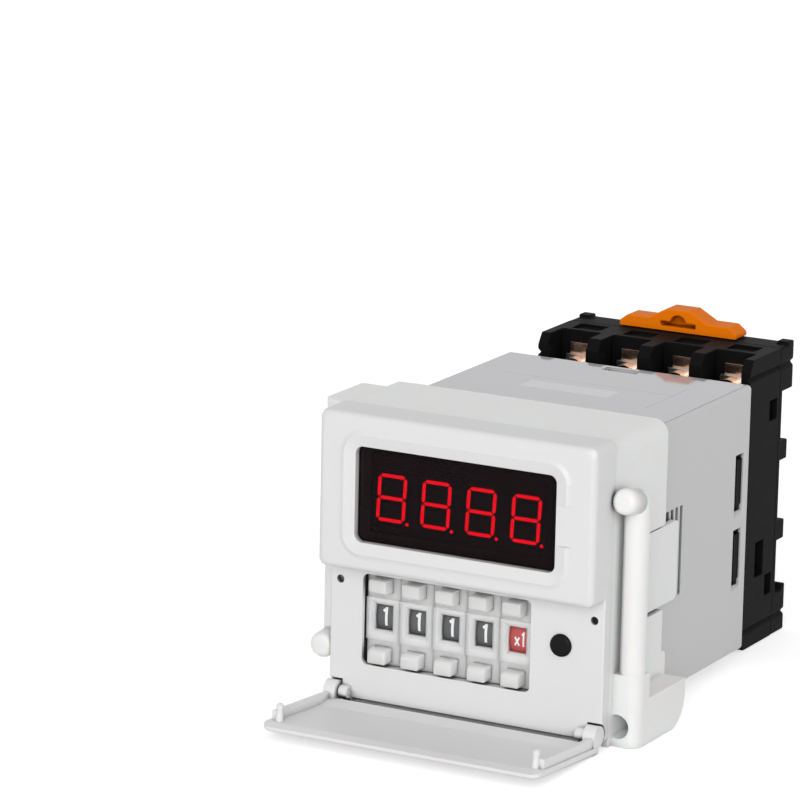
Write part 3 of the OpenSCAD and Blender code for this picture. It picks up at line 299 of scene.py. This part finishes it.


# shade: the share to which painted shade in each crevice, hole and slit dims that material's base colour
MATERIALS = {
    "bezel_white": moulded("bezel_white", paint(228, 228, 228), 0.40, drift=0.02, shade=0.03),
    "window_smoke": tinted_window(),
    "display_black": moulded("display_black", paint(30, 22, 24), 0.6, grain_mm=2, relief=0.0, drift=0.02,
                             Specular_IOR_Level=0.1),
    "led_red": lit_red(),
    "cover_grey": moulded("cover_grey", paint(234, 233, 233), 0.38, drift=0.02),
    "milky_plastic": moulded("milky_plastic", paint(241, 242, 241), 0.34, drift=0.02, shade=0.9,
                             Subsurface_Weight=1.0, Subsurface_Radius=(1.0, 1.0, 1.0),
                             Subsurface_Scale=3.0 * MM),
    "milky_button": moulded("milky_button", paint(224, 224, 223), 0.36, drift=0.02, shade=0.95,
                            Subsurface_Weight=1.0, Subsurface_Radius=(1.0, 1.0, 1.0),
                            Subsurface_Scale=4.0 * MM),
    "number_grey": moulded("number_grey", paint(92, 93, 95), 0.5, shade=0.5),
    "multiplier_red": moulded("multiplier_red", paint(190, 82, 80), 0.5, shade=0.6),
    "button_black": moulded("button_black", paint(10, 10, 10), 0.5, Specular_IOR_Level=0.04, Coat_Weight=0.22,
                            Coat_Roughness=0.2),
    "board_green": circuit_board(),
    "case_grey": moulded("case_grey", paint(206, 206, 206), 0.42, drift=0.02),
    "label_film": label_film(),
    "core_steel": plated("core_steel", paint(150, 144, 138), 0.4, "Y"),
    "relay_blue": moulded("relay_blue", paint(40, 78, 150), 0.3),
    "base_black": moulded("base_black", paint(22, 22, 22), 0.5, shade=0.4, Specular_IOR_Level=0.04),
    "pin_metal": plated("pin_metal", paint(205, 202, 194), 0.28, "Y"),
    "bracket_white": moulded("bracket_white", paint(241, 241, 240), 0.34, drift=0.02, shade=0.55,
                             Subsurface_Weight=0.3, Subsurface_Scale=1.5 * MM),
    "socket_black": moulded("socket_black", paint(21, 21, 21), 0.5, grain_mm=0.5, relief=0.2, drift=0.12,
                            shade=0.4, Specular_IOR_Level=0.025),
    "terminal_brass": plated("terminal_brass", paint(255, 214, 190), 0.2, "X"),
    "clip_orange": moulded("clip_orange", paint(246, 126, 10), 0.42, shade=0.4, Specular_IOR_Level=0.03),
}
number_white = moulded("number_white", paint(244, 244, 244), 0.5)


def add_piece(name, mesh, body, slot, material, *replaced):
    """A finished piece that rides on its body, takes the finish given as material and stands for the nodes it
    replaces; the slot is not used.
    """
    piece = bpy.data.objects.new(name, mesh)
    bpy.context.scene.collection.objects.link(piece)
    mesh.materials.clear()
    mesh.materials.append(material)
    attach(piece, body)
    if replaced:
        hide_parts(*replaced)
    return piece


# Pieces with shallow slopes that stay crisp, and the angle from which their edges show
CRISP_NODES, CRISP_ANGLE = ("front_cover", "rail_clip", "socket_body"), 8.5
# Distance at which points join, angle up to which faces join, and the steps and least angle of a rounded edge
JOIN_MM, FLAT_ANGLE, EDGE_STEPS, EDGE_ANGLE = 0.002, 0.4, 3, 32


def softened(node, radius_mm):
    """The node's own solid with rounded edges: triangles of one plane join, then a bevel rolls sharp edges."""
    shape = bmesh.new()
    shape.from_mesh(nodes[node].data)
    bmesh.ops.remove_doubles(shape, verts=shape.verts, dist=JOIN_MM * MM)
    flat = math.radians(FLAT_ANGLE)
    bmesh.ops.dissolve_limit(shape, angle_limit=flat, verts=shape.verts, edges=shape.edges)
    mesh = bpy.data.meshes.new(node + "_soft")
    shape.to_mesh(mesh)
    shape.free()
    mesh.polygons.foreach_set("use_smooth", np.ones(len(mesh.polygons), bool))
    if node in CRISP_NODES:
        mesh.set_sharp_from_angle(angle=math.radians(CRISP_ANGLE))
    slot = slot_of_node[node]
    piece = add_piece(node + "_soft", mesh, body_of_node[node], slot, MATERIALS[slot], node)
    bevel = piece.modifiers.new("edges", "BEVEL")
    bevel.width = radius_mm * MM
    bevel.segments = EDGE_STEPS
    bevel.limit_method = "ANGLE"
    bevel.angle_limit = math.radians(EDGE_ANGLE)
    level = piece.modifiers.new("level", "WEIGHTED_NORMAL")
    level.weight = 100
    level.keep_sharp = True


# Edge rounding of the pieces that show, in millimetres
EDGE_MM = {"bezel": 0.3, "front_cover": 0.15, "case_shell": 0.18, "mounting_bracket": 0.4,
           "socket_body": 0.22, "socket_base": 0.25, "rail_clip": 0.35, "terminal_screws": 0.12,
           "contact_strips": 0.12, "clamp_washers": 0.1, "reset_button": 0.15, "plug_base": 0.2}
EDGE_MM.update({f"preset_cell_{i}": 0.08 for i in CELLS})
EDGE_MM.update({f"{side}_button_{i}": 0.3 for i in CELLS for side in ("plus", "minus")})


def dress_nodes():
    """Rounds the edges of the pieces that show and gives every other node its finish."""
    for node, thing in nodes.items():
        if node in EDGE_MM:
            softened(node, EDGE_MM[node])
        else:
            thing.data.materials.clear()
            thing.data.materials.append(MATERIALS[slot_of_node[node]])


# Marks on the number wheels, and the strokes that draw each of them in a box one unit high
MARK_H_MM, MARK_W_MM = 2.95, 3.2
MULTIPLIER_H_MM, MULTIPLIER_W_MM = 2.3, 1.75
MARK_LIFT_MM, MARK_RISE_MM, MARK_LEFT_MM = 0.02, 0.25, 0.2
STROKE, PEN_STEP = 0.16, 0.58
ARC_POINTS, LINE_POINTS = 25, 9
WHEEL_PLACES = 10


def arc(x, y, r, start, stop, tall=1.0):
    """Points on a circle about (x, y) from one angle to another in degrees, stretched upwards by tall."""
    a = np.radians(np.linspace(start, stop, ARC_POINTS))
    return np.column_stack((x + r * np.cos(a), y + r * tall * np.sin(a)))


def line(*corners):
    """Points along straight runs between corners, close enough to bend round a rim."""
    runs = [np.linspace(a, b, LINE_POINTS) for a, b in zip(corners[:-1], corners[1:])]
    return np.concatenate(runs)


SIX = [arc(0, -0.21, 0.25, 0, 360),
       np.concatenate((arc(0.27, -0.12, 0.52, 175, 128), line((-0.05, 0.29), (0.14, 0.5))))]
STROKES = {
    "0": [arc(0, 0, 0.27, 0, 360, 1.75)],
    "1": [line((-0.12, 0.3), (0.06, 0.47)), line((0.06, 0.54), (0.06, -0.5))],
    "2": [np.concatenate((arc(0, 0.21, 0.26, 165, -30), line((0.22, 0.08), (-0.26, -0.46)))),
          line((-0.3, -0.46), (0.28, -0.46))],
    "3": [arc(0, 0.22, 0.24, 150, -90), arc(0, -0.22, 0.26, 90, -150)],
    "4": [line((0.12, -0.5), (0.12, 0.5)), line((0.08, 0.46), (-0.26, -0.2)),
          line((-0.28, -0.2), (0.28, -0.2))],
    "5": [line((0.24, 0.46), (-0.2, 0.46)), line((-0.2, 0.5), (-0.22, 0.02)), arc(0, -0.2, 0.27, 130, -140)],
    "6": SIX,
    "7": [line((-0.28, 0.46), (0.28, 0.46)), line((0.26, 0.46), (-0.06, -0.5))],
    "8": [arc(0, 0.24, 0.21, 0, 360), arc(0, -0.22, 0.26, 0, 360)],
    "9": [-points for points in SIX],
    "x": [line((-0.22, -0.46), (0.22, 0.12)), line((-0.22, 0.12), (0.22, -0.46))],
}


def strip(points):
    """Flat stroke along points: each point moves half the stroke to both sides of the line's way."""
    way = np.gradient(points, axis=0)
    way = way / np.maximum(np.linalg.norm(way, axis=1, keepdims=True), 1e-9)
    side = np.column_stack((-way[:, 1], way[:, 0])) * STROKE / 2
    count = len(points)
    first = np.arange(count - 1)
    quads = np.column_stack((first + count, first + count + 1, first + 1, first))
    return np.concatenate((points + side, points - side)), quads


def flat_mark(text, height, width):
    """Points and faces of a text of strokes about the origin that is so high and at most so wide."""
    points, faces, count, pen = [], [], 0, 0.0
    for sign in text:
        for stroke in STROKES[sign]:
            ends, quads = strip(stroke + (pen, 0.0))
            points.append(ends)
            faces.append(quads + count)
            count += len(ends)
        pen += PEN_STEP
    points = np.concatenate(points) * height
    low, high = points.min(0), points.max(0)
    squeeze = min(1.0, width / (high[0] - low[0]))
    return (points - (low + high) / 2) * (squeeze, 1.0), np.concatenate(faces)


def wheel_marks(i):
    """Numbers round a wheel's rim: a flat point (u, v) goes to the angle v / r + turn on the rim, and to u
    along the axle."""
    node = f"number_wheel_{i}"
    low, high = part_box(node)
    centre = (low + high) / 2
    rim = (high.z - low.z) / 2 + MARK_LIFT_MM * MM
    multiplier = i == len(CELLS)
    size = (MULTIPLIER_H_MM * MM, MULTIPLIER_W_MM * MM) if multiplier else (MARK_H_MM * MM, MARK_W_MM * MM)
    across = centre.x - (0.0 if multiplier else MARK_LEFT_MM * MM)
    points, faces, count = [], [], 0
    for place in range(WHEEL_PLACES):
        text = f"x{10 ** (place % 2)}" if multiplier else str((place + 1) % WHEEL_PLACES)
        flat, quads = flat_mark(text, *size)
        angle = (flat[:, 1] + MARK_RISE_MM * MM) / rim + place * 2 * math.pi / WHEEL_PLACES
        points.append(np.column_stack((across + flat[:, 0], centre.y - rim * np.cos(angle),
                                       centre.z + rim * np.sin(angle))))
        faces.append(quads + count)
        count += len(flat)
    mesh = bpy.data.meshes.new(f"wheel_marks_{i}")
    mesh.from_pydata(np.concatenate(points), [], np.concatenate(faces).tolist())
    add_piece(f"wheel_marks_{i}", mesh, body_of_node[node], slot_of_node[node], number_white)


# Long ends of the spring pegs, which stand ahead of the sleeve until the bracket is pushed against a panel
PEG_R_MM, PEG_EDGE_MM = 2.1, 1.0
PEG_LEANS = {1: 12, -1: -6}
PEG_FROM_MM, PEG_TO_MM = 1.0, 5.5
ARM_IN_MM, ARM_BACK_MM, ARM_RISE_MM = 2.1, 3.4, 15.0
PEG_SIDES, PEG_EDGE_POINTS = 48, 9


def revolve(along, radius, centre, axis, across):
    """Closed surface of revolution: ring k lies along[k] up the axis with radius[k], and a pole closes each
    end."""
    turn = np.linspace(0, 2 * math.pi, PEG_SIDES, endpoint=False)
    axis, across = np.array(axis), np.array(across)
    other = np.cross(axis, across)
    ring = np.cos(turn)[:, None] * across + np.sin(turn)[:, None] * other
    rings = (centre + along[:, None, None] * axis + radius[:, None, None] * ring).reshape(-1, 3)
    poles = centre + along[[0, -1], None] * axis
    k, s = np.meshgrid(np.arange(len(along) - 1), np.arange(PEG_SIDES), indexing="ij")
    here, there = k * PEG_SIDES + s, k * PEG_SIDES + (s + 1) % PEG_SIDES
    quads = np.stack((here, there, there + PEG_SIDES, here + PEG_SIDES), axis=-1).reshape(-1, 4)
    count, last = len(rings), (len(along) - 1) * PEG_SIDES
    side = np.arange(PEG_SIDES)
    after = (side + 1) % PEG_SIDES
    start = [[count, b, a] for a, b in zip(side, after)]
    end = [[count + 1, last + a, last + b] for a, b in zip(side, after)]
    return np.concatenate((rings, poles)), quads.tolist() + start + end


def peg_ends():
    """Both pegs: a straight bar whose end edge is a quarter circle, leaning up on the right and a little down
    on the left."""
    low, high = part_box("mounting_bracket")
    middle = (low + high) / 2
    edge = np.radians(np.linspace(0, 90, PEG_EDGE_POINTS))
    along = np.concatenate(([PEG_FROM_MM], PEG_TO_MM - PEG_EDGE_MM * (1 - np.sin(edge)))) * MM
    radius = np.concatenate(([PEG_R_MM], PEG_R_MM - PEG_EDGE_MM * (1 - np.cos(edge)))) * MM
    points, faces = [], []
    for side, degrees in PEG_LEANS.items():
        lean = math.radians(degrees)
        centre = np.array((middle.x + side * (high.x - middle.x - ARM_IN_MM * MM), low.y + ARM_BACK_MM * MM,
                           middle.z + side * ARM_RISE_MM * MM))
        axis = (0.0, -math.cos(lean), math.sin(lean))
        shell, polygons = revolve(along, radius, centre, axis, (1.0, 0.0, 0.0))
        faces += [[v + sum(map(len, points)) for v in polygon] for polygon in polygons]
        points.append(shell)
    mesh = bpy.data.meshes.new("peg_ends")
    mesh.from_pydata(np.concatenate(points), [], faces)
    mesh.polygons.foreach_set("use_smooth", np.ones(len(mesh.polygons), bool))
    slot = slot_of_node["mounting_bracket"]
    add_piece("peg_ends", mesh, body_of_node["mounting_bracket"], slot, MATERIALS[slot])


FLOOR_REACH, FLOOR_GREY, FLOOR_GLOW = 3.0, 0.8, 0.58
WHITE = (1.0, 1.0, 1.0, 1.0)


def add_stage():
    """Pale floor that keeps the object's shadow; to the eye it also glows, so that it looks white."""
    ground = cad_box[0].z
    reach = FLOOR_REACH
    mesh = bpy.data.meshes.new("floor")
    sides = ((-reach, -reach), (reach, -reach), (reach, reach), (-reach, reach))
    corners = [(x, y, ground) for x, y in sides]
    mesh.from_pydata(corners, [], [(0, 1, 2, 3)])
    floor = bpy.data.objects.new("floor", mesh)
    bpy.context.scene.collection.objects.link(floor)
    material = bpy.data.materials.new("floor")
    material.use_nodes = True
    material.node_tree.nodes.clear()
    wire = Wire(material.node_tree)
    seen = straight_rays(wire)
    matt = wire.add("BsdfDiffuse", {"Color": dimmed(WHITE, FLOOR_GREY)})
    glow = wire.add("Emission", {"Color": WHITE, "Strength": seen * FLOOR_GLOW})
    both = wire.add("AddShader", {0: matt, 1: glow})
    wire.add("OutputMaterial", {"Surface": both})
    mesh.materials.append(material)


def straight_rays(wire):
    """1 for what the eye sees straight, in a mirror or through glass; 0 for light that reaches a surface."""
    camera = wire.add("LightPath", out="Is Camera Ray")
    glossy = wire.add("LightPath", out="Is Glossy Ray")
    through = wire.add("LightPath", out="Is Transmission Ray")
    return wire.math("MINIMUM", camera + glossy + through, 1.0)


WORLD_LIGHT, ZENITH_DIM = 0.68, 0.32


def add_world():
    """White to the eye; as light, plain grey that dims towards the zenith."""
    world = bpy.data.worlds.new("world")
    bpy.context.scene.world = world
    world.use_nodes = True
    world.node_tree.nodes.clear()
    wire = Wire(world.node_tree)
    height = wire.add("TexCoord", out="Generated").axis("Z")
    light = WORLD_LIGHT * (1 - ZENITH_DIM * wire.math("MAXIMUM", height, 0.0))
    seen = straight_rays(wire)
    strength = seen + (1 - seen) * light
    sky = wire.add("Background", {"Color": WHITE, "Strength": strength})
    wire.add("OutputWorld", {"Surface": sky})


KEY_AT, KEY_AIM = Vector((0.5, -1.1, 0.38)), Vector((0.0, 0.03, 0.0))
KEY_SIZE, KEY_WATTS = 0.9, 8.3


def add_lamp():
    """Plain studio light: one large soft key from the front, a little right of the middle and above."""
    light = bpy.data.lights.new("key", "AREA")
    light.shape = "DISK"
    light.size = KEY_SIZE
    light.energy = KEY_WATTS
    lamp = bpy.data.objects.new("key", light)
    lamp.location = KEY_AT
    lamp.rotation_euler = (KEY_AIM - KEY_AT).to_track_quat("-Z", "Y").to_euler()
    bpy.context.scene.collection.objects.link(lamp)


add_camera()
dress_nodes()
for number in CELLS:
    wheel_marks(number)
peg_ends()
add_stage()
add_world()
add_lamp()
bpy.context.scene.view_settings.view_transform = "Standard"
